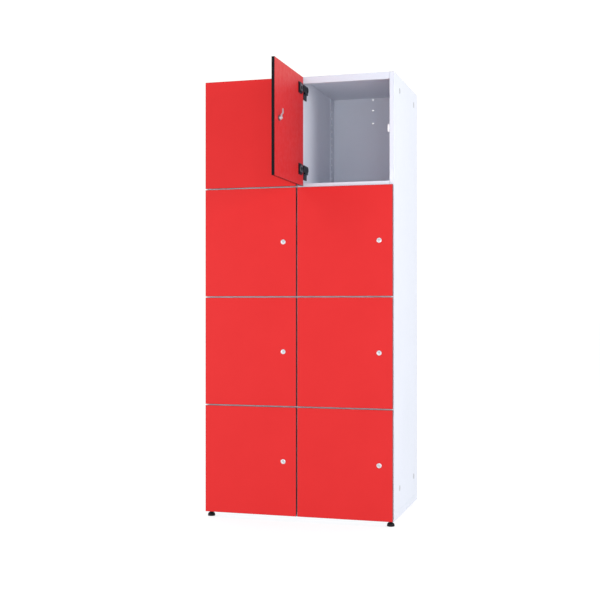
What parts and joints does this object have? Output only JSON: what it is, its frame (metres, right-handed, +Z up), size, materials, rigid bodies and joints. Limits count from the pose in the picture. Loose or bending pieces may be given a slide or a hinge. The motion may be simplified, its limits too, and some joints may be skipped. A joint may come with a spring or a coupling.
{
  "type": "locker cabinet",
  "caption": "Freestanding white locker cabinet with rows of lockable red doors on side hinges, open shelved compartments behind them and levelling feet.",
  "frame": {"origin": "centre of the bottom panel's underside", "axes": "+X to the right seen from the front, +Y to the back, +Z up; the doors face -Y"},
  "size_m": [0.8, 0.9362, 1.82],
  "materials": {
    "white_steel": "satin white powder coat",
    "red_laminate": "satin red laminate on a black core",
    "black_hinge": "satin black",
    "lock_metal": "bright plated",
    "black_plastic": "moulded black"
  },
  "bodies": {
    "carcass": {"side_panel_left": "white_steel", "partition_left_column": "white_steel", "partition_right_column": "white_steel", "side_panel_right": "white_steel", "top_panel": "white_steel", "bottom_panel": "white_steel", "back_panel": "white_steel", "shelf_left_1": "white_steel", "shelf_left_2": "white_steel", "shelf_left_3": "white_steel", "shelf_right_1": "white_steel", "shelf_right_2": "white_steel", "shelf_right_3": "white_steel", "hinge_arm_left_1_upper": "black_hinge", "hinge_arm_left_1_lower": "black_hinge", "hinge_arm_left_2_upper": "black_hinge", "hinge_arm_left_2_lower": "black_hinge", "hinge_arm_left_3_upper": "black_hinge", "hinge_arm_left_3_lower": "black_hinge", "hinge_arm_left_4_upper": "black_hinge", "hinge_arm_left_4_lower": "black_hinge", "hinge_arm_right_1_upper": "black_hinge", "hinge_arm_right_1_lower": "black_hinge", "hinge_arm_right_2_upper": "black_hinge", "hinge_arm_right_2_lower": "black_hinge", "hinge_arm_right_3_upper": "black_hinge", "hinge_arm_right_3_lower": "black_hinge", "hinge_arm_right_4_upper": "black_hinge", "hinge_arm_right_4_lower": "black_hinge"},
    "door_left_1": {"door_panel_left_1": "red_laminate", "lock_barrel_left_1": "lock_metal"},
    "lock_left_1": {"lock_cam_left_1": "lock_metal"},
    "door_left_2": {"door_panel_left_2": "red_laminate", "lock_barrel_left_2": "lock_metal"},
    "lock_left_2": {"lock_cam_left_2": "lock_metal"},
    "door_left_3": {"door_panel_left_3": "red_laminate", "lock_barrel_left_3": "lock_metal"},
    "lock_left_3": {"lock_cam_left_3": "lock_metal"},
    "door_left_4": {"door_panel_left_4": "red_laminate", "lock_barrel_left_4": "lock_metal"},
    "lock_left_4": {"lock_cam_left_4": "lock_metal"},
    "door_right_1": {"door_panel_right_1": "red_laminate", "lock_barrel_right_1": "lock_metal"},
    "lock_right_1": {"lock_cam_right_1": "lock_metal"},
    "door_right_2": {"door_panel_right_2": "red_laminate", "lock_barrel_right_2": "lock_metal"},
    "lock_right_2": {"lock_cam_right_2": "lock_metal"},
    "door_right_3": {"door_panel_right_3": "red_laminate", "lock_barrel_right_3": "lock_metal"},
    "lock_right_3": {"lock_cam_right_3": "lock_metal"},
    "door_right_4": {"door_panel_right_4": "red_laminate", "lock_barrel_right_4": "lock_metal"},
    "lock_right_4": {"lock_cam_right_4": "lock_metal"},
    "foot_front_left": {"foot_front_left": "black_plastic"},
    "foot_front_right": {"foot_front_right": "black_plastic"},
    "foot_rear_left": {"foot_rear_left": "black_plastic"},
    "foot_rear_right": {"foot_rear_right": "black_plastic"}
  },
  "joints": [
    {"name": "hinge_left_1", "type": "hinge", "parent": "carcass", "child": "door_left_1", "pos_m": [-0.38672, -0.284, 1.575], "axis": [0, 0, -1], "range_deg": [0, 110]},
    {"name": "lock_turn_left_1", "type": "hinge", "parent": "door_left_1", "child": "lock_left_1", "pos_m": [-0.0575, -0.285, 1.575], "axis": [0, 1, 0], "range_deg": [0, 90]},
    {"name": "hinge_left_2", "type": "hinge", "parent": "carcass", "child": "door_left_2", "pos_m": [-0.38672, -0.284, 1.125], "axis": [0, 0, -1], "range_deg": [0, 110]},
    {"name": "lock_turn_left_2", "type": "hinge", "parent": "door_left_2", "child": "lock_left_2", "pos_m": [-0.0575, -0.285, 1.125], "axis": [0, 1, 0], "range_deg": [0, 90]},
    {"name": "hinge_left_3", "type": "hinge", "parent": "carcass", "child": "door_left_3", "pos_m": [-0.38672, -0.284, 0.675], "axis": [0, 0, -1], "range_deg": [0, 110]},
    {"name": "lock_turn_left_3", "type": "hinge", "parent": "door_left_3", "child": "lock_left_3", "pos_m": [-0.0575, -0.285, 0.675], "axis": [0, 1, 0], "range_deg": [0, 90]},
    {"name": "hinge_left_4", "type": "hinge", "parent": "carcass", "child": "door_left_4", "pos_m": [-0.38672, -0.284, 0.225], "axis": [0, 0, -1], "range_deg": [0, 110]},
    {"name": "lock_turn_left_4", "type": "hinge", "parent": "door_left_4", "child": "lock_left_4", "pos_m": [-0.0575, -0.285, 0.225], "axis": [0, 1, 0], "range_deg": [0, 90]},
    {"name": "hinge_right_1", "type": "hinge", "parent": "carcass", "child": "door_right_1", "pos_m": [0.01328, -0.284, 1.575], "axis": [0, 0, -1], "range_deg": [-90, 20]},
    {"name": "lock_turn_right_1", "type": "hinge", "parent": "door_right_1", "child": "lock_right_1", "pos_m": [0.01228, -0.61322, 1.575], "axis": [1, 0, 0], "range_deg": [0, 90]},
    {"name": "hinge_right_2", "type": "hinge", "parent": "carcass", "child": "door_right_2", "pos_m": [0.01328, -0.284, 1.125], "axis": [0, 0, -1], "range_deg": [0, 110]},
    {"name": "lock_turn_right_2", "type": "hinge", "parent": "door_right_2", "child": "lock_right_2", "pos_m": [0.3425, -0.285, 1.125], "axis": [0, 1, 0], "range_deg": [0, 90]},
    {"name": "hinge_right_3", "type": "hinge", "parent": "carcass", "child": "door_right_3", "pos_m": [0.01328, -0.284, 0.675], "axis": [0, 0, -1], "range_deg": [0, 110]},
    {"name": "lock_turn_right_3", "type": "hinge", "parent": "door_right_3", "child": "lock_right_3", "pos_m": [0.3425, -0.285, 0.675], "axis": [0, 1, 0], "range_deg": [0, 90]},
    {"name": "hinge_right_4", "type": "hinge", "parent": "carcass", "child": "door_right_4", "pos_m": [0.01328, -0.284, 0.225], "axis": [0, 0, -1], "range_deg": [0, 110]},
    {"name": "lock_turn_right_4", "type": "hinge", "parent": "door_right_4", "child": "lock_right_4", "pos_m": [0.3425, -0.285, 0.225], "axis": [0, 1, 0], "range_deg": [0, 90]},
    {"name": "level_front_left", "type": "slide", "parent": "carcass", "child": "foot_front_left", "axis": [0, 0, -1], "range_m": [0, 0.015]},
    {"name": "level_front_right", "type": "slide", "parent": "carcass", "child": "foot_front_right", "axis": [0, 0, -1], "range_m": [0, 0.015]},
    {"name": "level_rear_left", "type": "slide", "parent": "carcass", "child": "foot_rear_left", "axis": [0, 0, -1], "range_m": [0, 0.015]},
    {"name": "level_rear_right", "type": "slide", "parent": "carcass", "child": "foot_rear_right", "axis": [0, 0, -1], "range_m": [0, 0.015]}
  ]
}
